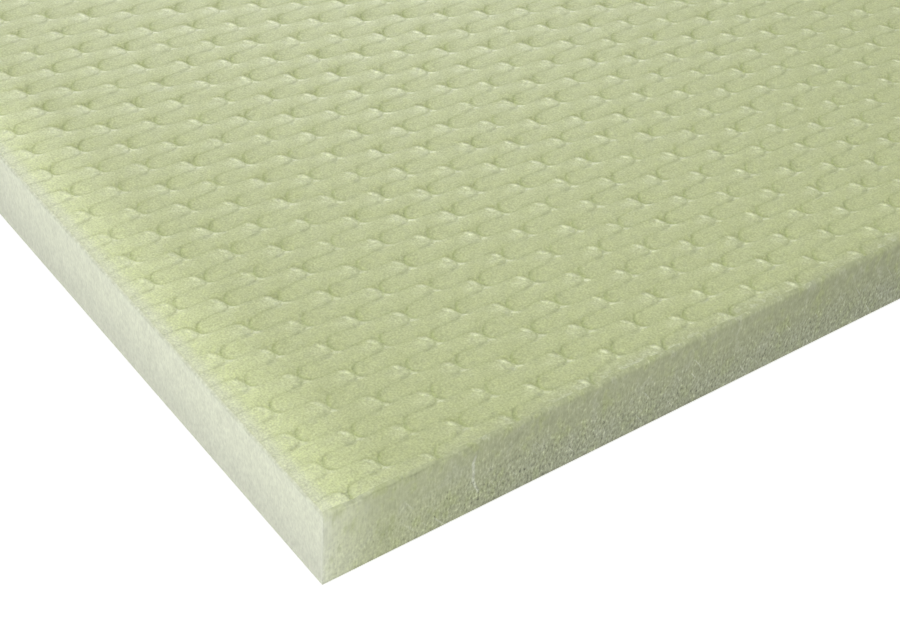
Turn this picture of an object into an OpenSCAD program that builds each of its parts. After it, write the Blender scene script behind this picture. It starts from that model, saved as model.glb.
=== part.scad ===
// Extruded polystyrene insulation board with square-cut edges and embossed faces.
//
// The board lies flat. The origin is at the middle of its underside, X runs along its length, Y across
// its width and Z up. Both faces are pressed by a fluted roller, which leaves shallow grooves along the
// length. Between the grooves stand the flat crowns on which the board rests.

/* [Board] */
// Length of the board, along the embossed rows
board_length = 1250; // [300:10:2500]
// Width of the board, across the embossed rows
board_width = 600; // [200:10:1250]
// Thickness of the board, from crown to crown
board_thickness = 40; // [20:5:160]

/* [Embossed faces] */
// Distance from one embossed row to the next
row_pitch = 9.86; // [6:0.02:20]
// Distance from the front edge to the middle of the first groove
first_groove = 8.5; // [4:0.5:20]
// Width of a groove at the face of the board
groove_width = 1.4; // [0.6:0.1:3]
// Width of a groove at its root
groove_root = 0.5; // [0.2:0.1:0.5]
// Depth to which a groove is pressed into the face
groove_depth = 0.6; // [0.2:0.1:1.5]

/* [Hidden] */

// Strip that stays flat between the last groove and the rear edge
rear_strip = groove_width;
// Grooves that fit on one face
groove_count = floor((board_width - first_groove - rear_strip) / row_pitch) + 1;
// Places of the grooves across the board, from the front edge to the rear edge
groove_places = [for (row = [0:groove_count - 1]) first_groove + row * row_pitch - board_width / 2];

// The outline of one groove of the upper face, seen from the end of the board. The notch
// stands a little proud of the face, so that it opens it cleanly.
module groove_outline() {
    proud = groove_depth;
    slope = (groove_width - groove_root) / 2 / groove_depth;
    mouth = groove_width / 2 + slope * proud;
    polygon([[-mouth, proud], [-groove_root / 2, -groove_depth], [groove_root / 2, -groove_depth], [mouth, proud]]);
}

// The grooves of one face, on a plane at height 0
module face_grooves() {
    for (place = groove_places)
        translate([place, 0])
            groove_outline();
}

// The section of the board across its width: a plain rectangle with grooves in both faces
module board_section() {
    difference() {
        translate([-board_width / 2, 0])
            square([board_width, board_thickness]);
        translate([0, board_thickness])
            face_grooves();
        mirror([0, 1])
            face_grooves();
    }
}

// The board is one extrusion of that section, sawn square at both ends
module board() {
    color([0.78, 0.81, 0.64])
        translate([-board_length / 2, 0, 0])
            rotate([90, 0, 90])
                linear_extrude(height = board_length)
                    board_section();
}

board();
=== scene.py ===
# %% [markdown]
# # An embossed foam insulation board
#
# This lesson dresses one rigid foam board for a picture. The real board is a single piece of extruded
# foam: a machine presses a pattern of long round-ended cells into both faces, and a saw trims the ends
# and the long edges. The drawing of the part already holds the size, so here we only add what the eye
# needs: the embossing as real relief, the sawn faces, and the pale yellow-green colour of the foam.
#
# We start by loading the drawing. All positions below come from the box of the board, so the dressing
# can't drift away from the part.

# %% Load the frame
import math

import bmesh
import bpy
import numpy as np
from mathutils import Matrix, Vector


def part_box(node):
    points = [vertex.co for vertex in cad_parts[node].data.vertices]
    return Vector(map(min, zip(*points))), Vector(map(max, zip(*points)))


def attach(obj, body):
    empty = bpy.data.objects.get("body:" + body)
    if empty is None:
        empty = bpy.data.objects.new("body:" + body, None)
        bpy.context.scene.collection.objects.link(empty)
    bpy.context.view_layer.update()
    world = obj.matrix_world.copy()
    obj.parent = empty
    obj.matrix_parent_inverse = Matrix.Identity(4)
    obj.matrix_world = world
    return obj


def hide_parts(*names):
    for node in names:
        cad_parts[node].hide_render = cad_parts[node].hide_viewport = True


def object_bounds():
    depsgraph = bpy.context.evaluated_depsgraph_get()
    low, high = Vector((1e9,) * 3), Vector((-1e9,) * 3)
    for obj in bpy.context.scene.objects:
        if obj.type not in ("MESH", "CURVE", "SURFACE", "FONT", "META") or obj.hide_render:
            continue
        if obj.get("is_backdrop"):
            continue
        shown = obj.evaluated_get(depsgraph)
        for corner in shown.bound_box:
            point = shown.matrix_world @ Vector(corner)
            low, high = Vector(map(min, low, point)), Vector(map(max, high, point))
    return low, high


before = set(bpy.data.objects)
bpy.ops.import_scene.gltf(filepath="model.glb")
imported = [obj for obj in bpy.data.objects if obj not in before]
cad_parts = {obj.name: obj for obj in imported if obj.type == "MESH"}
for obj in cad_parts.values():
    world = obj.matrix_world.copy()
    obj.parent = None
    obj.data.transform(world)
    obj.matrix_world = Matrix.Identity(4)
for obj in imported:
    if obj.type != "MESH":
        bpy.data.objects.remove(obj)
cad_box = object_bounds()
MM = 0.001

board_low, board_high = (np.array(corner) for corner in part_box("board"))
length, width, thickness = board_high - board_low
print(f"board: {length:.3f} x {width:.3f} x {thickness:.3f} m")

# %% [markdown]
# ## The camera
#
# The camera looks down on one corner of the board, from a little under a metre away, through a lens
# about twice as long as a normal one. We could aim it with a constraint, but that can't hold the small
# roll of a hand-held camera. Building its three axes from azimuth, elevation and roll keeps each angle
# readable.

# %% Place the camera
CAMERA_AZIMUTH = math.radians(38.72)  # turned from +Y towards +X
CAMERA_ELEVATION = math.radians(39.94)
CAMERA_ROLL = math.radians(4.01)
CAMERA_DISTANCE = 0.8127
LENS_MM, SENSOR_MM = 73.86, 36
AIM_ALONG, AIM_ACROSS = 113.1 * MM, 71.3 * MM  # from the near corner of the upper face

near_corner = Vector((board_low[0], board_low[1], board_high[2]))
aim = near_corner + Vector((AIM_ALONG, AIM_ACROSS, 0))


def camera_axes(azimuth, elevation, roll):
    """The camera's right, up and forward directions."""
    forward = Vector((
        math.sin(azimuth) * math.cos(elevation),
        math.cos(azimuth) * math.cos(elevation),
        -math.sin(elevation),
    ))
    level_right = Vector((math.cos(azimuth), -math.sin(azimuth), 0))
    level_up = level_right.cross(forward)
    right = math.cos(roll) * level_right + math.sin(roll) * level_up
    up = math.cos(roll) * level_up - math.sin(roll) * level_right
    return right, up, forward


right, up, forward = camera_axes(CAMERA_AZIMUTH, CAMERA_ELEVATION, CAMERA_ROLL)
camera = bpy.data.objects.new("camera", bpy.data.cameras.new("camera"))
bpy.context.scene.collection.objects.link(camera)
camera.data.lens = LENS_MM
camera.data.sensor_width = SENSOR_MM
turn = Matrix((right, up, -forward)).transposed().to_4x4()
camera.matrix_world = Matrix.Translation(aim - CAMERA_DISTANCE * forward) @ turn
bpy.context.scene.camera = camera
print("camera at", [round(value, 3) for value in camera.matrix_world.translation])

# %% [markdown]
# ## The pattern of the embossing
#
# Seen from above, the embossing is a running bond of long cells with half-round ends, like bricks with
# rounded heads. Each row is shifted by half a cell. A thin groove runs round every cell. Where two
# cells of a row meet head to head, the cells of the next rows bulge into the gap.
#
# All of this follows from one number at each point: the distance to the nearest groove. Because the
# ends are half circles whose radius is half the row pitch, that distance has a short formula. We write
# it once, with the few functions it needs passed in, so that it works on arrays of points here and on
# shader values later.

# %% The distance to the nearest groove
CELL_PITCH = 41.11  # mm along the board, from one cell to the next
ROW_PITCH = 9.86  # mm across the board, from one row to the next
HEAD_RADIUS = ROW_PITCH / 2
FIRST_HEAD = 15.06  # mm from the left end to the first place where two cells meet
FIRST_ROW = 3.54  # mm from the front edge to the middle of the first row


class ArrayMaths:
    """The functions that the pattern needs, for arrays of numbers."""

    floor = staticmethod(np.floor)
    absolute = staticmethod(np.abs)
    larger = staticmethod(np.maximum)
    reach = staticmethod(np.hypot)


def from_neighbour(value, gap, maths):
    """The same place, measured from the neighbour on its side, which is a gap away."""
    return value - gap * (maths.floor(value / (2 * gap) + 1) * 2 - 1)


def groove_pattern(x, y, maths):
    """At a place of the pattern in mm: its distance to the nearest groove, how far it is inside a
    cell of its row, and its steps from where two heads meet, in its own row and in the next."""
    row = maths.floor(y / ROW_PITCH + 0.5)
    odd = row - maths.floor(row / 2) * 2
    across = y - row * ROW_PITCH
    along = x - odd * (CELL_PITCH / 2)
    along = along - maths.floor(along / CELL_PITCH + 0.5) * CELL_PITCH
    own = along, across
    other = from_neighbour(along, CELL_PITCH / 2, maths), from_neighbour(across, ROW_PITCH, maths)
    past_head = maths.larger(HEAD_RADIUS - maths.absolute(own[0]), 0.0)
    past_middle = maths.larger(HEAD_RADIUS - maths.absolute(other[0]), 0.0)
    inside = HEAD_RADIUS - maths.reach(past_head, own[1])
    from_other = maths.reach(past_middle, other[1]) - HEAD_RADIUS
    distance = maths.absolute(inside) + from_other - (HEAD_RADIUS - maths.absolute(across))
    return distance, inside, own, other


sample = groove_pattern(np.array([0.0, CELL_PITCH / 2]), np.array([0.0, 0.0]), ArrayMaths)[0]
print("distance at a head and at the middle of a cell:", sample.round(2), "mm")

# %% [markdown]
# ## One cell as a mesh
#
# The relief is about a millimetre deep, so a fine even grid over the whole board would need millions
# of faces. Instead the mesh follows the pattern: each cell gets columns of points across it, close
# together round its heads and far apart along its straight sides. Most columns have a point on the
# groove at both sides and one on each shoulder, and those near a tip have one on the crown.
# Neighbouring cells share the points on their grooves, so the cells can weld into one sheet.

# %% Points and faces of one cell
SIDE_SHOULDER, HEAD_SHOULDER = 1.0, 2.0  # mm from a groove to the shoulder of the cell
half = CELL_PITCH / 2
round_head = [HEAD_RADIUS * (1 - math.cos(math.radians(angle))) for angle in (0, 30, 60, 90)]
behind_head = half / 2  # where the slope of the head has run out, for a cell and its neighbours
round_next = [half - offset for offset in reversed(round_head)]
left_columns = round_head + [behind_head] + round_next
cell_columns = left_columns + [CELL_PITCH - column for column in reversed(left_columns[:-1])]
print("columns of a cell, mm:", [round(column, 1) for column in cell_columns])


def chord(radius, offset):
    """Half the height of a circle at a distance from its middle."""
    return math.sqrt(max(radius * radius - offset * offset, 0.0))


def half_width(column, inset):
    """How far the cell reaches to one side at a column, less an inset from its groove."""
    from_head = min(column, CELL_PITCH - column)
    from_middle = half - from_head
    if from_head < HEAD_RADIUS:
        return chord(HEAD_RADIUS - inset, HEAD_RADIUS - from_head)
    if from_middle < HEAD_RADIUS:
        return ROW_PITCH - chord(HEAD_RADIUS + inset, HEAD_RADIUS - from_middle)
    return HEAD_RADIUS - inset


# %% [markdown]
# ## Points and faces
#
# A column near a tip needs fewer points than one along the sides, so the columns differ and the faces
# between them do too. We could fill the cell with triangles from an automatic tool, but it would place
# them anyhow, and uneven triangles show as dents when light grazes the face. Writing the few cases out
# keeps every cell alike and symmetric.

# %% The cell's points and faces
def heights_at(number):
    """The points across the cell at one of its columns."""
    column = cell_columns[number]
    from_end = min(number, len(cell_columns) - 1 - number)
    at_heads = abs(min(column, CELL_PITCH - column) - behind_head) > 1
    shoulder = half_width(column, HEAD_SHOULDER if at_heads else SIDE_SHOULDER)
    groove = half_width(column, 0)
    if from_end == 0:
        return [0.0]
    if from_end == 1:
        return [-groove, 0.0, groove]
    if from_end in (2, 3):
        return [-groove, -shoulder, 0.0, shoulder, groove]
    return [-groove, -shoulder, shoulder, groove]


def faces_between(few, many):
    """Faces between two columns of points, given from the column with fewer points."""
    sizes = len(few), len(many)
    if sizes == (1, 3):
        return [(few[0], many[0], many[1]), (few[0], many[1], many[2])]
    if sizes == (3, 5):
        return [
            (few[0], many[0], many[1], few[1]),
            (few[1], many[1], many[2]),
            (few[1], many[2], many[3]),
            (few[1], many[3], many[4], few[2]),
        ]
    if sizes == (4, 5):
        return [
            (few[0], many[0], many[1], few[1]),
            (few[1], many[1], many[2], many[3], few[2]),
            (few[2], many[3], many[4], few[3]),
        ]
    return [(few[i], many[i], many[i + 1], few[i + 1]) for i in range(len(few) - 1)]


def draw_cell():
    """The points of one cell, from its left tip, and its faces."""
    points, columns, faces = [], [], []
    for number, column in enumerate(cell_columns):
        across = heights_at(number)
        columns.append(list(range(len(points), len(points) + len(across))))
        points += [(column, height) for height in across]
    for left, right in zip(columns, columns[1:]):
        if len(left) <= len(right):
            faces += faces_between(left, right)
        else:
            faces += [tuple(reversed(face)) for face in faces_between(right, left)]
    return np.array(points), faces


cell_points, cell_faces = draw_cell()
triangles = sum(len(face) - 2 for face in cell_faces)
print(f"one cell: {len(cell_points)} points, {triangles} triangles")

# %% [markdown]
# ## Lay the cells over the board
#
# A double loop lays the cell over the face and a little past each edge. The points that neighbours
# share are welded later, when the mesh is cut to size. An array modifier could repeat the cell too, but
# then every cell would be the same, and real ones aren't.

# %% Lay the cells
def lay_cells():
    """The points of the whole sheet in places of the pattern, in mm, and its faces."""
    rows = range(-1, int(width / MM / ROW_PITCH) + 2)
    cells = range(-2, int(length / MM / CELL_PITCH) + 2)
    places, faces = [], []
    for row in rows:
        shift = (row % 2) * half
        for cell in cells:
            start = len(places) * len(cell_points)
            places.append(cell_points + (cell * CELL_PITCH + shift, row * ROW_PITCH))
            faces += [[start + corner for corner in face] for face in cell_faces]
    return np.concatenate(places), faces


places, sheet_faces = lay_cells()
print(f"sheet: {len(places)} points, {len(sheet_faces)} faces")

# %% [markdown]
# ## Smooth chance
#
# No roller is perfect. The rows waver by a few tenths of a millimetre, and the pressure differs from
# place to place. Both come from a smooth random field: random numbers on a coarse grid, blended between
# the points of the grid. A fixed seed gives the same board each time.

# %% A smooth random field
SPREAD_LOST = 1.4  # the factor by which blending narrows the spread


def smooth_field(points, spacing, seed, components=1):
    """Smooth random values with a spread of about one, at points in mm."""
    random = np.random.default_rng(seed)
    low = points.min(axis=0) - spacing
    size = (np.ceil((points.max(axis=0) - low) / spacing) + 2).astype(int)
    grid = random.normal(size=(*size, components)) * SPREAD_LOST
    at = (points - low) / spacing
    corner = np.floor(at).astype(int)
    blend = at - corner
    blend = blend * blend * (3 - 2 * blend)
    total = 0
    for step in ((0, 0), (1, 0), (0, 1), (1, 1)):
        share = np.prod(np.where(step, blend, 1 - blend), axis=1)
        total = total + share[:, None] * grid[corner[:, 0] + step[0], corner[:, 1] + step[1]]
    return total if components > 1 else total[:, 0]


print("spread of a field:", round(float(smooth_field(places, spacing=18, seed=1).std()), 2))

# %% [markdown]
# ## Press the relief
#
# The height of a point depends on how far it is from the nearest line and from where two heads meet. A
# shallow groove runs round each cell. The crown of a cell drops towards its heads, the rim of a head
# falls away a little more, and the place where two heads meet lies lowest, about a millimetre down.
# These slopes catch the light. Sculpting by hand would never repeat them a thousand times, and a bump
# alone would stay flat at the edge of the board. The crowns stay level with the face, so the board
# keeps its thickness.

# %% Heights of the embossed face
SIDE_DEPTH, SIDE_SLOPE = 0.03, 1.0  # mm, of the grooves along the cells
HEAD_DEPTH, HEAD_SLOPE = 0.24, 3.4  # mm, of the fall round the heads
HEAD_NEAR, HEAD_FAR = 3, 10  # mm from the meeting, between which that fall fades out
DIP_DEPTH, DIP_RADIUS = 0.22, 6.0  # mm, where two heads meet
CROWN_DROP, CROWN_REACH = 0.45, 11.0  # mm, of the crown of a cell towards its heads


def eased(share):
    """0 to 1 with level ends."""
    share = np.clip(share, 0, 1)
    return share * share * (3 - 2 * share)


def relief(points, pressure):
    """The height against the crowns, in mm, at places of the pattern."""
    distance, _, own, other = groove_pattern(points[:, 0], points[:, 1], ArrayMaths)
    from_meeting = np.minimum(np.hypot(*own), np.hypot(*other))
    near_head = 1 - eased((from_meeting - HEAD_NEAR) / (HEAD_FAR - HEAD_NEAR))
    groove = SIDE_DEPTH * (1 - eased(distance / SIDE_SLOPE))
    fall = HEAD_DEPTH * near_head * np.clip(1 - distance / HEAD_SLOPE, 0, 1) ** 2.5
    dip = DIP_DEPTH * eased(1 - from_meeting / DIP_RADIUS)
    off_crown = (own[1] / HEAD_RADIUS) ** 2
    drop = CROWN_DROP * eased(1 - np.abs(own[0]) / CROWN_REACH) * (1 - off_crown)
    return -pressure * (groove + fall + dip + drop)


PRESSURE_SPREAD, LEAST_PRESSURE, MOST_PRESSURE = 0.25, 0.45, 1.6
PRESSURE_PATCH = 18  # mm
WAVER = 0.38  # mm by which the pattern strays from a true grid
SHORT_WAVER, LONG_WAVER = 13, 90  # mm along the board
pressure = 1 + PRESSURE_SPREAD * smooth_field(places, PRESSURE_PATCH, seed=4)
pressure = np.clip(pressure, LEAST_PRESSURE, MOST_PRESSURE)
heights = relief(places, pressure)
waver = WAVER * smooth_field(places, SHORT_WAVER, seed=9, components=2)
waver += 0.5 * WAVER * smooth_field(places, LONG_WAVER, seed=10, components=2)
pattern_start = np.array([FIRST_HEAD, FIRST_ROW])
sheet_points = np.column_stack([
    board_low[:2] + (places + pattern_start + waver) * MM,
    board_high[2] + heights * MM,
])
print(f"relief from {heights.min():.2f} to {heights.max():.2f} mm")

# %% [markdown]
# ## Trim the sheet
#
# Sawing the real board cuts straight through the cells, so the sheet is laid too large and four planes
# cut it. A boolean with a box would do it too, but planes are quicker and leave cleaner edges.
#
# Each point also keeps its place in the pattern as an attribute of the mesh. The finish reads it, so
# that its colours follow the wavering grooves exactly.

# %% Trim the sheet
END_ROUND, EDGE_ROUND, UNDER_ROUND = 0.9, 2.0, 0.15  # mm
TINY = 2e-5  # m, less than any gap between points that should stay apart

mesh = bpy.data.meshes.new("board_foam")
mesh.from_pydata(sheet_points.tolist(), [], sheet_faces)
place_attribute = mesh.attributes.new("place", "FLOAT_VECTOR", "POINT")
place_attribute.data.foreach_set("vector", np.column_stack([places, 0 * places[:, 0]]).ravel())
bm = bmesh.new()
bm.from_mesh(mesh)
bmesh.ops.remove_doubles(bm, verts=bm.verts[:], dist=TINY)
low_x, low_y = (board_low[:2] + np.array([END_ROUND, EDGE_ROUND]) * MM).tolist()
high_x, high_y = (board_high[:2] - np.array([END_ROUND, EDGE_ROUND]) * MM).tolist()
for limit, outward in (
    ((low_x, 0, 0), (-1, 0, 0)),
    ((high_x, 0, 0), (1, 0, 0)),
    ((0, low_y, 0), (0, -1, 0)),
    ((0, high_y, 0), (0, 1, 0)),
):
    bmesh.ops.bisect_plane(
        bm,
        geom=bm.verts[:] + bm.edges[:] + bm.faces[:],
        dist=TINY,
        plane_co=limit,
        plane_no=outward,
        clear_outer=True,
    )
print(f"trimmed: {len(bm.verts)} points, {len(bm.faces)} faces")

# %% [markdown]
# ## Close the board
#
# The rim of the cut is drawn out, ring by ring, over the rounded edge, down the sides and under the
# board, and one flat face closes the underside. That way the sides share their points with the relief,
# and its dips run out over the edge. The saw leaves the long edges rounder than the ends. The underside
# carries the pattern too, so its points get their own places in it.

# %% Draw the rim down the sides
def side_of(value, low, high):
    """-1 at or below low, 1 at or above high, 0 between them."""
    return int(value > high - TINY) - int(value < low + TINY)


def add_ring(rim, move):
    """One more ring of faces beyond the rim, whose outer points go where move puts them."""
    made = bmesh.ops.extrude_edge_only(bm, edges=rim)["geom"]
    for vert in (part for part in made if isinstance(part, bmesh.types.BMVert)):
        x_side = side_of(vert.co.x, low_x, high_x)
        y_side = side_of(vert.co.y, low_y, high_y)
        vert.co = move(vert, x_side, y_side)
    return [part for part in made if isinstance(part, bmesh.types.BMEdge)]


def over_edge(angle, relief_kept):
    """Puts a ring at an angle round the upper edge: 0 is the face and 90 degrees the side."""
    back, drop = 1 - math.sin(angle), 1 - math.cos(angle)

    def move(vert, x_side, y_side):
        x, y, _ = vert.co
        if x_side:
            x = (board_high if x_side > 0 else board_low)[0] - x_side * back * END_ROUND * MM
        if y_side:
            y = (board_high if y_side > 0 else board_low)[1] - y_side * back * EDGE_ROUND * MM
        rounding = (EDGE_ROUND if y_side else END_ROUND) * MM
        return Vector((x, y, board_high[2] + relief_kept * vert[rim_relief] - drop * rounding))

    return move


def straight_down(height):
    """Puts a ring at a height above the underside."""
    return lambda vert, x_side, y_side: Vector((vert.co.x, vert.co.y, height))


def under_board(vert, x_side, y_side):
    """Puts the last ring under the board, a little way in."""
    inset = UNDER_ROUND * MM
    return Vector((vert.co.x - x_side * inset, vert.co.y - y_side * inset, board_low[2]))


SIDE_RING = 0.45  # of the thickness, for a ring half-way down the sides
rim_relief = bm.verts.layers.float.new("rim relief")
rim = [edge for edge in bm.edges if edge.is_boundary]
for edge in rim:
    for vert in edge.verts:
        vert[rim_relief] = vert.co.z - board_high[2]
print(f"rim: {len(rim)} edges")
moves = [
    over_edge(math.radians(45), relief_kept=0.9),
    over_edge(math.radians(90), relief_kept=0.5),
    straight_down(SIDE_RING * thickness),
    straight_down(board_low[2] + UNDER_ROUND * MM),
    under_board,
]
for move in moves:
    rim = add_ring(rim, move)
bmesh.ops.contextual_create(bm, geom=rim)
place_layer = bm.verts.layers.float_vector["place"]
for vert in bm.verts:
    if vert.co.z < board_low[2] + thickness / 2:
        x, y = (np.array(vert.co.xy) - board_low[:2]) / MM - pattern_start
        vert[place_layer] = (x, y, 0)
print(f"closed board: {len(bm.faces)} faces")

# %% [markdown]
# ## Three finishes on one piece
#
# The board is one piece of foam with three kinds of surface: the embossed skin, the finely sawn ends
# and the roughly sawn long edges. Each face gets its finish from where it lies, which is surer than
# from how it leans, because the relief tilts many faces. All are shaded smooth. Only the grooves stay
# sharp, and a modifier weights the rest towards the large level crowns.

# %% Sort the faces by finish and save the mesh
SKIN, SAWN_END, SAWN_EDGE = 0, 1, 2
ON_GROOVE = 0.02  # mm, the most that a point on a groove may lie off it
bmesh.ops.recalc_face_normals(bm, faces=bm.faces[:])
for face in bm.faces:
    face.smooth = True
    centre = face.calc_center_median()
    past_end = side_of(centre.x, low_x, high_x) != 0
    past_edge = side_of(centre.y, low_y, high_y) != 0
    if past_end and not (past_edge and abs(face.normal.y) > abs(face.normal.x)):
        face.material_index = SAWN_END
    else:
        face.material_index = SAWN_EDGE if past_edge else SKIN
bm.verts.layers.float.remove(rim_relief)
place_layer = bm.verts.layers.float_vector["place"]  # found again, now that a layer is gone
vert_places = np.array([vert[place_layer] for vert in bm.verts])
on_groove = groove_pattern(vert_places[:, 0], vert_places[:, 1], ArrayMaths)[0] < ON_GROOVE
bm.verts.index_update()
for edge in bm.edges:
    edge.smooth = not all(on_groove[vert.index] for vert in edge.verts)
open_edges = sum(len(edge.link_faces) != 2 for edge in bm.edges)
bm.to_mesh(mesh)
bm.free()
board = bpy.data.objects.new("board_foam", mesh)
bpy.context.scene.collection.objects.link(board)
level_crowns = board.modifiers.new("level crowns", "WEIGHTED_NORMAL")
level_crowns.keep_sharp = True
mesh.calc_loop_triangles()
print(f"board: {len(mesh.loop_triangles)} triangles, {open_edges} open edges")
assert len(mesh.loop_triangles) < 200_000 and open_edges == 0

# %% [markdown]
# ## A small language for finishes
#
# A finish is a web of shader nodes. Wired by hand, line by line, it hides the idea behind it, so we
# write it as sums instead. A Field wraps one socket of the web: a value, a colour or a vector that
# varies over a surface. Python's own signs then add the Math nodes, with the Field on either side, so
# `1 - mask` works as well as `mask - 1`.

# %% One socket as a value in a sum
class Field:
    """Something that varies over a surface."""

    def __init__(self, finish, socket):
        self.finish, self.socket = finish, socket

    def __add__(self, other):
        return self.finish.math("ADD", self, other)

    def __radd__(self, other):
        return self.finish.math("ADD", other, self)

    def __sub__(self, other):
        return self.finish.math("SUBTRACT", self, other)

    def __rsub__(self, other):
        return self.finish.math("SUBTRACT", other, self)

    def __mul__(self, other):
        return self.finish.math("MULTIPLY", self, other)

    def __rmul__(self, other):
        return self.finish.math("MULTIPLY", other, self)

    def __truediv__(self, other):
        return self.finish.math("DIVIDE", self, other)


methods = [name.strip("_") for name, part in vars(Field).items() if callable(part)]
print("a Field knows the signs", ", ".join(methods[1:]))

# %% [markdown]
# ## The web of nodes
#
# A Finish holds the web of one material, or of the world. All its nodes come from one method, which
# sets the choices of a node first and then fills or links its sockets. The others are short names for
# the nodes that values need. The pattern's formula asks for the same names, so it runs here unchanged
# and the painted lines fall exactly on the pressed ones.

# %% The nodes for values
class Finish:
    """The nodes of one material or of the world, and the means to write them as sums."""

    def __init__(self, owner):
        self.owner = owner
        owner.use_nodes = True
        self.tree = owner.node_tree
        self.tree.nodes.clear()

    def node(self, kind, settings=None, sockets=None, output=0):
        """Any node: its settings first, then the values or links of its sockets."""
        node = self.tree.nodes.new("ShaderNode" + kind)
        for name, value in (settings or {}).items():
            setattr(node, name, value)
        for name, value in (sockets or {}).items():
            if isinstance(value, Field):
                self.tree.links.new(value.socket, node.inputs[name])
            else:
                node.inputs[name].default_value = value
        return Field(self, node.outputs[output]) if node.outputs else None

    def math(self, operation, *values):
        return self.node("Math", {"operation": operation}, dict(enumerate(values)))

    def floor(self, value):
        return self.math("FLOOR", value)

    def absolute(self, value):
        return self.math("ABSOLUTE", value)

    def larger(self, first, second):
        return self.math("MAXIMUM", first, second)

    def smaller(self, first, second):
        return self.math("MINIMUM", first, second)

    def reach(self, x, y):
        """The length of a step of x and y."""
        return self.math("SQRT", x * x + y * y)

    def step(self, value, low, high):
        """0 at low, 1 at high, eased between them. Low may be the greater."""
        return self.node(
            "MapRange",
            {"interpolation_type": "SMOOTHSTEP"},
            {"Value": value, "From Min": low, "From Max": high},
        )

    def parts(self, vector):
        """The x, y and z of a vector."""
        split = self.node("SeparateXYZ", sockets={0: vector}).socket.node
        return [Field(self, socket) for socket in split.outputs]

    def show(self, kind, shader):
        """Joins a shader to the output, and hands back the material or world."""
        self.node(kind, sockets={"Surface": shader})
        print(f"{self.owner.name}: {len(self.tree.nodes)} nodes")
        return self.owner


needed = [name for name in vars(ArrayMaths) if not name.startswith("_")]
print("the pattern needs", needed, "- all here:", all(hasattr(Finish, name) for name in needed))

# %% [markdown]
# ## Colours and noise
#
# A Math node would turn a colour grey, so colours go through Mix and Vector Math. We write a colour as
# it looks on a screen, from 0 to 255, and turn it into linear light on the way. Noise stands for all
# that follows no plan: the clouds in the foam, its cells, and the marks of a saw. Stretching the place
# before the noise draws the marks out along one axis.

# %% The nodes for colours and noise
def linear(colour):
    """A colour written as screen values of 0 to 255, as the linear values that a shader takes."""
    if isinstance(colour, Field):
        return colour
    shares = [value / 255 for value in colour]
    bent = [s / 12.92 if s <= 0.04045 else ((s + 0.055) / 1.055) ** 2.4 for s in shares]
    return (*bent, 1.0)


class FoamFinish(Finish):
    """A finish with the colours, noise and shader that foam needs."""

    def mix(self, share, first, second):
        """A colour: the first where the share is 0, the second where it is 1."""
        sockets = {"Factor": share, 6: linear(first), 7: linear(second)}
        return self.node("Mix", {"data_type": "RGBA"}, sockets, output=2)

    def scaled(self, colour, share):
        """A colour made darker or lighter by a share."""
        return self.node("VectorMath", {"operation": "SCALE"}, {0: colour, "Scale": share})

    def noise(self, place, scale=1.0, detail=2.0, roughness=0.5):
        """Cloudy values, centred on 0, from -1 to 1."""
        sockets = {"Vector": place, "Scale": scale, "Detail": detail, "Roughness": roughness}
        return self.node("TexNoise", sockets=sockets) * 2.0 - 1.0

    def stretch(self, place, x, y, z):
        """A place with each axis scaled by its own factor, for patterns with a grain."""
        return self.node("VectorMath", {"operation": "MULTIPLY"}, {0: place, 1: (x, y, z)})

    def foam(self, height, **sockets):
        """Finishes with a Principled shader of low gloss, with bumps of a height in mm."""
        named = {name.replace("_", " "): value for name, value in sockets.items()}
        named["Specular IOR Level"] = FOAM_GLOSS
        named["Normal"] = self.node("Bump", sockets={"Height": height, "Distance": MM})
        return self.show("OutputMaterial", self.node("BsdfPrincipled", sockets=named))


FOAM_GLOSS = 0.25  # half of what a smooth plastic has, because the cells break the surface
print("mid grey is", round(linear((128, 128, 128))[0], 3), "in linear light")

# %% [markdown]
# ## Where we are on the board
#
# Foam changes colour towards its cut faces, so each finish must know how far away they are. We take
# the place from the object's own coordinates, which are metres in the frame of the drawing, and turn
# it into millimetres from three faces. A painted picture could hold the same change, but it would need
# unwrapping, and its grain would blur when seen from near.

# %% Millimetres from three faces
def places_on_board(finish):
    """The place on the board, and how far in mm it is from the left end, the front and the top."""
    here = finish.node("TexCoord", output="Object")
    x, y, z = finish.parts(here)
    from_end = (x - float(board_low[0])) / MM
    from_front = (y - float(board_low[1])) / MM
    below = (float(board_high[2]) - z) / MM
    return here, from_end, from_front, below


print("farthest places, mm:", [round(float(side / MM)) for side in (length, width, thickness)])

# %% [markdown]
# ## The colours of the foam
#
# The foam is a pale yellow-green. It looks paler near a sawn face, because light that enters there
# wanders through the cells for a few centimetres before it comes out again. Tracing that light takes
# long and stays noisy. We paint the change instead, which costs nothing. Right at the sawn end the saw
# closed some of the cells, which leaves a greyer line. Along the front edge handling has rubbed the
# skin greyer too, in patches.

# %% Colours of the sawn edge and the skin
SKIN_GREEN, SKIN_PALE = (181, 188, 140), (186, 194, 145)  # in clouds
GLOW_REACH, FRINGE_REACH, CLOSED_REACH = 44.0, 10.0, 2.5  # mm from the sawn end


def edge_colour(finish, from_end):
    """The colour of the long sawn edge: paler towards the end of the board, a painted glow of the light
    that enters through the sawn end.
    """
    colour = finish.mix(finish.step(from_end, 0.0, 30.0), (224, 229, 197), (189, 195, 157))
    colour = finish.mix(finish.step(from_end, 25.0, 100.0), colour, (174, 179, 144))
    return finish.mix(finish.step(from_end, 100.0, 320.0), colour, (167, 172, 137))


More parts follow.
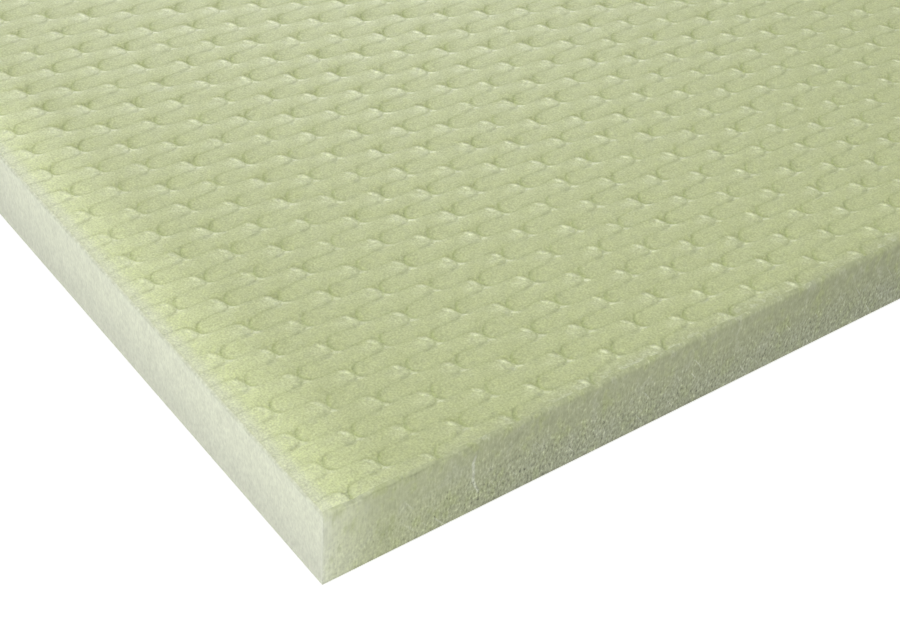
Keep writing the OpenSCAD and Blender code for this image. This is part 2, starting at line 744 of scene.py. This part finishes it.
def skin_colour(finish, from_end, from_front, cloud, mottle):
    """The colour of the skin before the roller changed it."""
    colour = finish.mix(cloud * 0.5 + 0.5, SKIN_GREEN, SKIN_PALE)
    colour = finish.mix(finish.step(from_end, GLOW_REACH, 0.0), colour, (207, 215, 165))
    colour = finish.mix(finish.step(from_end, FRINGE_REACH, 2.0), colour, (208, 213, 182))
    closed = finish.step(from_end, CLOSED_REACH, 0.0) * (0.9 + mottle * 1.2)
    colour = finish.mix(closed, colour, (196, 200, 172))
    near_edge = finish.step(from_front + mottle * 5.0, 11.0, 1.0)
    rubbed = finish.scaled(edge_colour(finish, from_end), 1.02)
    colour = finish.mix(near_edge * 0.5, colour, rubbed)
    worn = near_edge * finish.step(mottle + cloud, 0.0, 0.5)
    worn = worn * finish.step(from_end, 30.0, 160.0)
    return finish.mix(worn * 0.7, colour, (194, 199, 172))


print("the skin in linear light:", [round(share, 2) for share in linear(SKIN_GREEN)[:3]])

# %% [markdown]
# ## Painted sheen on the heads
#
# The windows behind the board give the far slope of each right-hand head a whitish sheen. The relief is
# too shallow for the lamps to give all of it, so the rest is a painted highlight in the colour: a
# bright crescent near the right-hand head, a weak glow behind it, and a streak across the next row.
# Each mark is an oval, placed in millimetres from where the heads meet, which is quick to draw and easy
# to move.

# %% Ovals of painted sheen
CRESCENT_AT = (-3.3, 2.2)  # mm from where two heads meet


def patch(finish, place, centre, size, turn):
    """1 at the middle of an oval that is turned by some degrees, and 0 at its rim."""
    x = place[0] - centre[0]
    y = place[1] - centre[1]
    cosine, sine = math.cos(math.radians(turn)), math.sin(math.radians(turn))
    lengthways = (x * cosine + y * sine) / size[0]
    sideways = (y * cosine - x * sine) / size[1]
    return finish.step(finish.reach(lengthways, sideways), 1.0, 0.2)


def both_rows(finish, own, other, **oval):
    """A patch that crosses into the next row."""
    return finish.larger(patch(finish, own, **oval), patch(finish, other, **oval))


def painted_sheen_on_heads(finish, own, other, distance, mottle, from_end):
    """The painted sheen on the heads: 0 where there is none, and about 1 where the head shines white.
    """
    # Painted highlight: a crescent, a glow and a streak of sheen round each right-hand head.
    crescent = patch(finish, own, centre=CRESCENT_AT, size=(3.8, 1.6), turn=-42)
    glow = patch(finish, own, centre=(-5.4, 0.0), size=(7.0, 3.9), turn=0)
    streak = both_rows(finish, own, other, centre=(0.0, -4.4), size=(3.0, 1.3), turn=-27)
    painted_sheen = finish.smaller(crescent * 0.77 + glow * 0.22 + streak * 0.44, 1.0)
    off_the_line = finish.step(distance, 0.1, 0.8)
    past_the_end = finish.step(from_end, 40.0, 200.0) * 0.35 + 0.65
    return painted_sheen * off_the_line * (1.0 + mottle * 0.8) * past_the_end


print("the crescent lies", round(math.hypot(*CRESCENT_AT), 1), "mm from where two heads meet")

# %% [markdown]
# ## Pressed lines and painted shade
#
# The hot rim of the roller closed the cells of the foam along a thin line round every cell. Closed
# cells send less light back, so the line is darker and more olive, and painted shade in its groove adds
# to it.
# Round the left-hand head, which leans away from the light, the olive is painted shade, and where two
# heads meet, at the lowest point, it is pressed foam and painted shade together. The formula of the
# pattern gives the line, and one more oval, which crosses into the next row, gives the painted shade
# under the head.

# %% Pressed lines and painted shade
def where_heads_meet(finish, own, other):
    """1 where two heads meet, and 0 from three millimetres away."""
    return finish.step(finish.smaller(finish.reach(*own), finish.reach(*other)), 3.0, 0.6)


def pressed_lines_and_shade(finish, distance, inside, own, other, cloud):
    """How far the foam turns olive and darker, from pressed lines and from painted shade."""
    # Painted shade: the rim of the left-hand head, and an oval under the right-hand head.
    rim_of_head = finish.step(inside, -0.4, 0.3) * finish.step(inside, 2.2, 0.3)
    in_shade = rim_of_head * finish.step(own[0], -0.3, 0.8) * finish.step(own[0], 5.0, 1.5)
    under_head = both_rows(finish, own, other, centre=(-4.2, -4.5), size=(5.0, 2.1), turn=12)
    # The pressed line, darkened further as painted shade in its groove.
    on_line = finish.step(distance, 0.9, 0.1) * (0.8 + cloud * 1.5)
    beside_line = finish.step(distance, 2.6, 0.6)
    # Where two heads meet: pressed foam and painted shade at the lowest point.
    at_meeting = where_heads_meet(finish, own, other)
    olive = finish.smaller(at_meeting * 0.1 + in_shade * 0.28 + on_line * 0.12, 1.0)
    darker = on_line * 0.07 + beside_line * 0.03 + in_shade * 0.07 + under_head * 0.12
    return olive, darker


print("a head meets the next one every", CELL_PITCH, "mm along a row")

# %% [markdown]
# ## The embossed skin
#
# Now the skin comes together. It reads each point's own place in the pattern, so its colours follow
# the wavering lines. The cells of the foam are about a millimetre wide and give it a fine grain. Light
# passes from one to the next, so the shader lets it travel three millimetres under the skin, which
# softens every edge of the relief. The lower face has the same pattern, but it lies on the table, so
# there a bump does the work of the mesh.

# %% The finish of the embossed faces
CLOUDS, MOTTLES, GRAINS = 60.0, 250.0, 1000.0  # how many to a metre
GRAIN_HEIGHT, UNDER_GROOVE, UNDER_DIP = 0.06, 0.25, 0.2  # mm, of the bumps
LIGHT_REACH = 3  # mm that light travels in the foam


def embossed_skin():
    finish = FoamFinish(bpy.data.materials.new("embossed foam skin"))
    here, from_end, from_front, below = places_on_board(finish)
    place = finish.node("Attribute", {"attribute_name": "place"}, output="Vector")
    pattern_x, pattern_y, _ = finish.parts(place)
    distance, inside, own, other = groove_pattern(pattern_x, pattern_y, finish)
    cloud = finish.noise(here, CLOUDS, detail=3.0)
    mottle = finish.noise(here, MOTTLES)
    grain = finish.noise(here, GRAINS, roughness=0.7)

    colour = skin_colour(finish, from_end, from_front, cloud, mottle)
    # A painted highlight: the whitish sheen on the far slope of each right-hand head.
    painted_sheen = painted_sheen_on_heads(finish, own, other, distance, mottle, from_end)
    sheen_with_grain = painted_sheen * (0.82 + finish.step(grain, -0.1, 0.5) * 0.18)
    colour = finish.mix(sheen_with_grain, colour, (221, 227, 190))
    # Pressed lines and painted shade make the skin olive and darker.
    olive, darker = pressed_lines_and_shade(finish, distance, inside, own, other, cloud)
    colour = finish.mix(olive, colour, (176, 190, 120))
    # Painted glints on the peaks of the grain.
    sparkle = finish.step(grain, 0.3, 0.7) * 0.08
    colour = finish.scaled(colour, (1.0 - darker) * (1.0 + grain * 0.43 + mottle * 0.15 + sparkle))

    grooves = finish.step(distance, 2.4, 0.0) * UNDER_GROOVE
    lines = grooves + where_heads_meet(finish, own, other) * UNDER_DIP
    underneath = finish.step(below, 39.0, 40.0)
    return finish.foam(
        height=grain * (GRAIN_HEIGHT + painted_sheen * 0.03) - underneath * lines,
        Base_Color=colour,
        Roughness=0.42 + finish.step(distance, 1.0, 0.2) * 0.12,
        Subsurface_Weight=1.0,
        Subsurface_Scale=LIGHT_REACH * MM,
        Subsurface_Radius=(1.0, 1.0, 0.7),
    )


mesh.materials.append(embossed_skin())

# %% [markdown]
# ## The sawn end
#
# A fine saw leaves the short end smooth, with only faint upright streaks. It is the palest face of the
# board, because light that enters the foam comes out again here, most of all in a band under the upper
# edge. Noise that is stretched a little gives the streaks. A picture of a real cut would show no more,
# and would repeat along the edge. Right at the upper edge the saw closed some of the cells, which
# leaves a greyer dotted line.

# %% The finish of the sawn ends
END_STREAKS, END_MOTTLES, END_DOTS = (900.0, 900.0, 500.0), 180.0, 450.0  # how many to a metre


def sawn_end():
    finish = FoamFinish(bpy.data.materials.new("smooth sawn foam"))
    here, _, from_front, below = places_on_board(finish)
    streaks = finish.noise(finish.stretch(here, *END_STREAKS))
    mottle = finish.noise(here, END_MOTTLES)
    colour = finish.mix(finish.step(below, 8.0, 38.0), (221, 225, 203), (207, 210, 192))
    band = finish.step(below, 9.0, 1.0) * (0.05 + finish.step(from_front, 5.0, 60.0) * 0.5)
    colour = finish.mix(band, colour, (226, 230, 208))
    # Painted highlight down the upright corner of the board.
    colour = finish.mix(finish.step(from_front, 1.6, 0.2) * 0.6, colour, (226, 230, 212))
    closed = finish.step(below, 1.8, 0.2) * (0.75 + finish.noise(here, END_DOTS) * 1.7)
    colour = finish.mix(closed, colour, (200, 204, 180))
    colour = finish.scaled(colour, 1.0 + streaks * 0.22 + mottle * 0.08)
    return finish.foam(height=streaks * 0.1, Base_Color=colour, Roughness=0.6)


mesh.materials.append(sawn_end())

# %% [markdown]
# ## Torn cells on the long edge
#
# The long edges were cut with a coarser tooth, which tore the cells open. A torn cell shows as a pale
# fleck with a dark pit beside it, drawn out upright along the cut, and the dark of the pit is painted
# shade. They get coarser towards the bottom, where the tooth left the foam, and finer towards the end
# of the board. One stretched noise gives both: its peaks are the flecks and its hollows are the pits.

# %% Torn cells
TORN_CELLS = (900.0, 900.0, 440.0)  # how many to a metre, along each axis


def torn_cells(finish, here, from_end, below, mottle):
    """The torn cells, from -1 in a pit to 1 on a fleck, and how coarse they are."""
    torn = finish.noise(finish.stretch(here, *TORN_CELLS), roughness=0.6)
    coarse = finish.step(below, 3.0, 36.0) * 0.7 + 0.3 + mottle * 0.5
    coarse = coarse * (finish.step(from_end, 0.0, 90.0) * 0.65 + 0.35)
    return torn, coarse * (1.0 - finish.step(from_end, 120.0, 260.0) * 0.08)


print("size of a torn cell, mm:", [round(1000 / count, 1) for count in TORN_CELLS])

# %% [markdown]
# ## Scratches on the long edge
#
# Crumbs of foam, dragged by the tooth, left short slanting scratches on the lower part of the edge. One
# longer scratch stands upright near the corner and bends away at its foot. The short ones are narrow
# peaks of a noise whose place leans with the height. The long one is drawn on purpose, as a line with
# a little wander in it, because a noise never leaves a mark where we want it.

# %% Short scratches and a long one
LONG_SCRATCH = 74.0  # mm from the left end
SCRATCH_MIDDLE, SCRATCH_TURN = 19.0, 15.0  # mm below the upper face


def scratches_of_saw(finish, here, from_end, below, mottle, torn):
    """How strongly the edge is scratched."""
    x, _, z = finish.parts(here)
    leaning = finish.node("CombineXYZ", sockets={"X": (x + z * 0.75) * 520.0, "Z": z * 70.0})
    short = finish.step(finish.noise(leaning, detail=1.0), 0.34, 0.5)
    short = short * finish.step(below + mottle * 6.0, 8.0, 14.0) * finish.step(from_end, 15.0, 60.0)
    wander = finish.noise(finish.stretch(here, 0.0, 0.0, 120.0)) * 2.0
    bend = (below - SCRATCH_TURN) * (below - SCRATCH_TURN) * 0.014
    long = finish.step(finish.absolute(from_end - LONG_SCRATCH - bend + wander), 1.1, 0.2)
    long = long * finish.step(finish.absolute(below - SCRATCH_MIDDLE), 13.0, 9.0)
    return finish.smaller(short + long * 1.5, 1.5) * (torn * 0.6 + 0.6)


print("the long scratch stands", LONG_SCRATCH, "mm from the end")

# %% [markdown]
# ## The colours of the long edge
#
# The cut shows the inside of the foam, which is greyer than the skin and uneven: some patches are
# greener and some are greyer. Just under the upper edge a little of the skin's green is left. The lower
# half is greyer, and its foot is a touch darker, which is painted shade where the board stands on the
# table. Each of these is one more thin coat of colour over the last.

# %% Coats of colour
def sawn_colour(finish, from_end, below, cloud, mottle):
    """The colour of the long edge between its flecks and scratches."""
    colour = edge_colour(finish, from_end)
    # Painted highlight and glow down the upright corner, beside the sawn end.
    colour = finish.mix(finish.step(from_end, 9.0, 0.0) * 0.6, colour, (210, 214, 194))
    colour = finish.mix(finish.step(from_end, 1.6, 0.2) * 0.6, colour, (224, 228, 208))
    skin_left = finish.step(below + mottle * 3.0, 5.0, 0.0)
    colour = finish.mix(skin_left * 0.4, colour, (184, 192, 146))
    colour = finish.mix(cloud * 0.6 + 0.4, colour, finish.scaled(colour, 0.93))
    colour = finish.mix(finish.step(mottle + cloud, 0.0, 0.5) * 0.5, colour, (162, 171, 118))
    colour = finish.mix(finish.step(mottle - cloud, 0.0, 0.5) * 0.35, colour, (168, 172, 153))
    low_down = finish.step(below, 10.0, 38.0) * finish.step(from_end, 30.0, 120.0)
    colour = finish.mix(low_down * 0.3, colour, (154, 158, 149))
    # Painted shade along the foot, where the board stands on the table.
    foot_shade = finish.step(below, 38.2, 39.2) * finish.step(from_end, 280.0, 200.0)
    return finish.scaled(colour, 1.0 - foot_shade * 0.1)


print("thickness that the coats cross:", round(float(thickness / MM), 1), "mm")

# %% [markdown]
# ## The rough sawn edge
#
# The marks now go over the colours. The flecks and scratches are greyer than the foam, so they are
# mixed in as colours, while pits and streaks only make it darker or lighter. A thin dark line follows
# the upper edge near the corner. The torn cells stand proud enough to catch light, so they also feed
# the bump.

# %% The finish of the long sawn edges
EDGE_CLOUDS, EDGE_MOTTLES = (90.0, 90.0, 60.0), (260.0, 260.0, 170.0)  # how many to a metre
EDGE_STREAKS = (1100.0, 1100.0, 120.0)


def sawn_edge():
    finish = FoamFinish(bpy.data.materials.new("rough sawn foam"))
    here, from_end, _, below = places_on_board(finish)
    cloud = finish.noise(finish.stretch(here, *EDGE_CLOUDS))
    mottle = finish.noise(finish.stretch(here, *EDGE_MOTTLES))
    streaks = finish.noise(finish.stretch(here, *EDGE_STREAKS), detail=1.0)
    torn, coarse = torn_cells(finish, here, from_end, below, mottle)
    flecks = finish.step(torn, 0.2, 0.5)
    pits = finish.step(torn, -0.25, -0.55)
    scratches = scratches_of_saw(finish, here, from_end, below, mottle, torn)
    # A thin dark line just under the upper edge, near the corner.
    upper_dark_line = finish.step(finish.absolute(below - 1.2 + mottle * 0.8), 0.7, 0.1)
    upper_dark_line = upper_dark_line * finish.step(from_end, 120.0, 30.0) * finish.step(from_end, 4.0, 12.0)

    colour = sawn_colour(finish, from_end, below, cloud, mottle)
    colour = finish.mix(coarse * flecks * 0.5, colour, (205, 210, 188))
    colour = finish.mix(scratches * 0.75, colour, (214, 218, 199))
    # The hollows of the torn cells are darkened as painted shade.
    tone = coarse * (torn * 1.1 + flecks * 0.1 - pits * 0.48) + streaks * 0.12 + mottle * 0.32
    colour = finish.scaled(colour, 1.0 + tone - upper_dark_line * 0.15)
    return finish.foam(height=coarse * torn * 0.3, Base_Color=colour, Roughness=0.6)


mesh.materials.append(sawn_edge())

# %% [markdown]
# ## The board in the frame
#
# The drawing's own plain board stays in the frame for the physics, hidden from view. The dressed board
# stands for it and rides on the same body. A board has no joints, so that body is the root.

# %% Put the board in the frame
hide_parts("board")
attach(board, "root")
print("the dressed board stands for the node board")

# %% [markdown]
# ## White wherever it shows
#
# The board is shown on plain white. White paint under a lamp is never quite even, and more lamps would
# only bleach the board. So the table and the room show white to the rays that reveal them: those from
# the camera, and those off a gloss or through glass. All other rays meet plain paint or a dim wall, so
# neither lights the board more than a real studio would.

# %% Rays that show the background
WHITE = (1.0, 1.0, 1.0, 1.0)


def shows_background(finish):
    """1 for the rays that show the background, and 0 for the rays that only carry light."""
    kinds = ("Is Camera Ray", "Is Glossy Ray", "Is Transmission Ray")
    rays = [finish.node("LightPath", output=kind) for kind in kinds]
    return finish.smaller(rays[0] + rays[1] + rays[2], 1.0)


print("white is", WHITE[:3], "at a strength of 1")

# %% [markdown]
# ## The table
#
# The board lies on a wide flat table. Near the board the table is white paint with a little light of
# its own added, so that it looks like bright paper and the board's shadow still shows on it. Beyond an
# arm's length no shadow falls, and it fades to pure white, so that no horizon shows from low down. A
# curved backdrop would do the same, but it would stand in the way of a camera behind the board.

# %% A white table that keeps the shadow
TABLE_SIZE = 12.0  # m
TABLE_GAP = 0.5  # mm under the board
TABLE_PAINT, TABLE_GLOW = (0.8, 0.8, 0.8, 1.0), 0.45
NEAR, FAR = 1.2, 3.0  # m from the middle: where the table starts to fade, and where it is white


def white_table():
    finish = Finish(bpy.data.materials.new("white table"))
    x, y, _ = finish.parts(finish.node("TexCoord", output="Object"))
    near = finish.step(finish.reach(x, y), FAR, NEAR)
    paint = finish.node("BsdfDiffuse", sockets={"Color": TABLE_PAINT})
    glow = finish.node("Emission", sockets={"Color": WHITE, "Strength": TABLE_GLOW})
    lifted = finish.node("AddShader", sockets={0: paint, 1: glow})
    white = finish.node("Emission", sockets={"Color": WHITE, "Strength": 1.0})
    paper = finish.node("MixShader", sockets={0: near, 1: white, 2: lifted})
    shader = finish.node("MixShader", sockets={0: shows_background(finish), 1: paint, 2: paper})
    return finish.show("OutputMaterial", shader)


table_mesh = bpy.data.meshes.new("table")
half_table = TABLE_SIZE / 2
corners = [(x * half_table, y * half_table, 0) for x, y in ((-1, -1), (1, -1), (1, 1), (-1, 1))]
table_mesh.from_pydata(corners, [], [(0, 1, 2, 3)])
table_mesh.materials.append(white_table())
table = bpy.data.objects.new("table", table_mesh)
table.location.z = board_low[2] - TABLE_GAP * MM
bpy.context.scene.collection.objects.link(table)
table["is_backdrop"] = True

# %% [markdown]
# ## The room
#
# Round the table stands a room with dim white walls. It fills the shadows evenly, which one world
# background does better and faster than built walls.

# %% A dim white room
ROOM_LIGHT = 0.45


def white_room():
    finish = Finish(bpy.data.worlds.new("white room"))
    walls = finish.node("Background", sockets={"Color": WHITE, "Strength": ROOM_LIGHT})
    paper = finish.node("Background", sockets={"Color": WHITE, "Strength": 1.0})
    shader = finish.node("MixShader", sockets={0: shows_background(finish), 1: walls, 2: paper})
    return finish.show("OutputWorld", shader)


bpy.context.scene.world = white_room()

# %% [markdown]
# ## Light
#
# The main light is a bank of windows, low and far behind the board. It grazes the face, so the far
# slope of each head shines and its near slope falls into shade. The windows are wide and far away,
# because a near one would light only a part of the board. A soft light on the left fills the sawn end,
# and a third one over the shoulder keeps the front edge from going dark. Each is given by its direction
# and distance from the middle of the view.

# %% Three soft lights
def soft_light(name, azimuth, elevation, distance, size, power):
    """A light, as wide and high as its size, at a direction round the aim, turned towards it."""
    data = bpy.data.lights.new(name, "AREA")
    data.shape = "RECTANGLE"
    data.size, data.size_y = size
    data.energy = power
    light = bpy.data.objects.new(name, data)
    bpy.context.scene.collection.objects.link(light)
    turn, rise = math.radians(azimuth), math.radians(elevation)
    level = math.cos(rise)
    way = Vector((math.cos(turn) * level, math.sin(turn) * level, math.sin(rise)))
    light.location = aim + distance * way
    light.rotation_euler = (-way).to_track_quat("-Z", "Y").to_euler()
    print(f"{name}: {power} W from {distance} m away")


soft_light("windows behind", azimuth=60, elevation=13, distance=8, size=(4.3, 2.8), power=240)
soft_light("left side", azimuth=185, elevation=12, distance=2.4, size=(1.4, 1.4), power=12)
soft_light("over the shoulder", azimuth=230, elevation=60, distance=2.6, size=(2, 2), power=40)
bpy.context.scene.view_settings.view_transform = "Standard"

# %% [markdown] ## The last check  A dressed part must be as large as its drawing, or the two would not
# fit the same shelf.

# %% Compare the sizes and finish
dressed_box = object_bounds()
boxes = [[[float(value) for value in corner] for corner in box] for box in (cad_box, dressed_box)]
difference = np.abs(np.array(boxes[0]) - np.array(boxes[1])).max()
print(f"the dressed board differs from the drawing by {difference / MM:.3f} mm at most")
